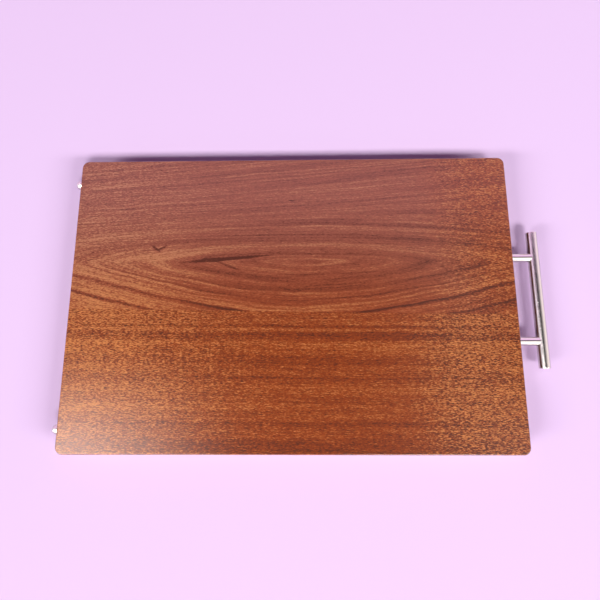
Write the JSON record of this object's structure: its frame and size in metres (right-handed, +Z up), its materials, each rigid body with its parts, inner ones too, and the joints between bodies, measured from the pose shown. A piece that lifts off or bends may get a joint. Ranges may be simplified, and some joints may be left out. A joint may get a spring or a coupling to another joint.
{
  "type": "serving tray",
  "caption": "Flat rectangular hardwood serving board with a stainless T-bar handle on one end, domed standing studs on the other and rubber feet underneath.",
  "frame": {"origin": "centre of the board's flat underside", "axes": "+X along the grain towards the handle, +Y across the staves towards the rear one, +Z up out of the serving face"},
  "size_m": [0.545, 0.335, 0.028],
  "materials": {
    "rear_stave_wood": "reddish-brown flat-sawn hardwood, satin oil",
    "front_stave_wood": "reddish-brown ribbon-grained hardwood, satin oil",
    "brushed_stainless": "brushed around the bar and posts",
    "polished_stainless": "polished",
    "zinc_plated_steel": "bright zinc plate",
    "foot_rubber": "matt black"
  },
  "bodies": {
    "root": {"stave_rear": "rear_stave_wood", "stave_front": "front_stave_wood", "handle_bar": "brushed_stainless", "handle_cap_rear": "brushed_stainless", "handle_cap_front": "brushed_stainless", "handle_post_rear": "brushed_stainless", "handle_post_front": "brushed_stainless", "handle_bolt_rear": "zinc_plated_steel", "handle_bolt_front": "zinc_plated_steel", "standing_stud_rear": "polished_stainless", "standing_stud_front": "polished_stainless", "stud_bolt_rear": "zinc_plated_steel", "stud_bolt_front": "zinc_plated_steel", "foot_left_rear": "foot_rubber", "foot_washer_left_rear": "zinc_plated_steel", "foot_screw_left_rear": "zinc_plated_steel", "foot_left_front": "foot_rubber", "foot_washer_left_front": "zinc_plated_steel", "foot_screw_left_front": "zinc_plated_steel", "foot_right_rear": "foot_rubber", "foot_washer_right_rear": "zinc_plated_steel", "foot_screw_right_rear": "zinc_plated_steel", "foot_right_front": "foot_rubber", "foot_washer_right_front": "zinc_plated_steel", "foot_screw_right_front": "zinc_plated_steel"}
  },
  "joints": []
}
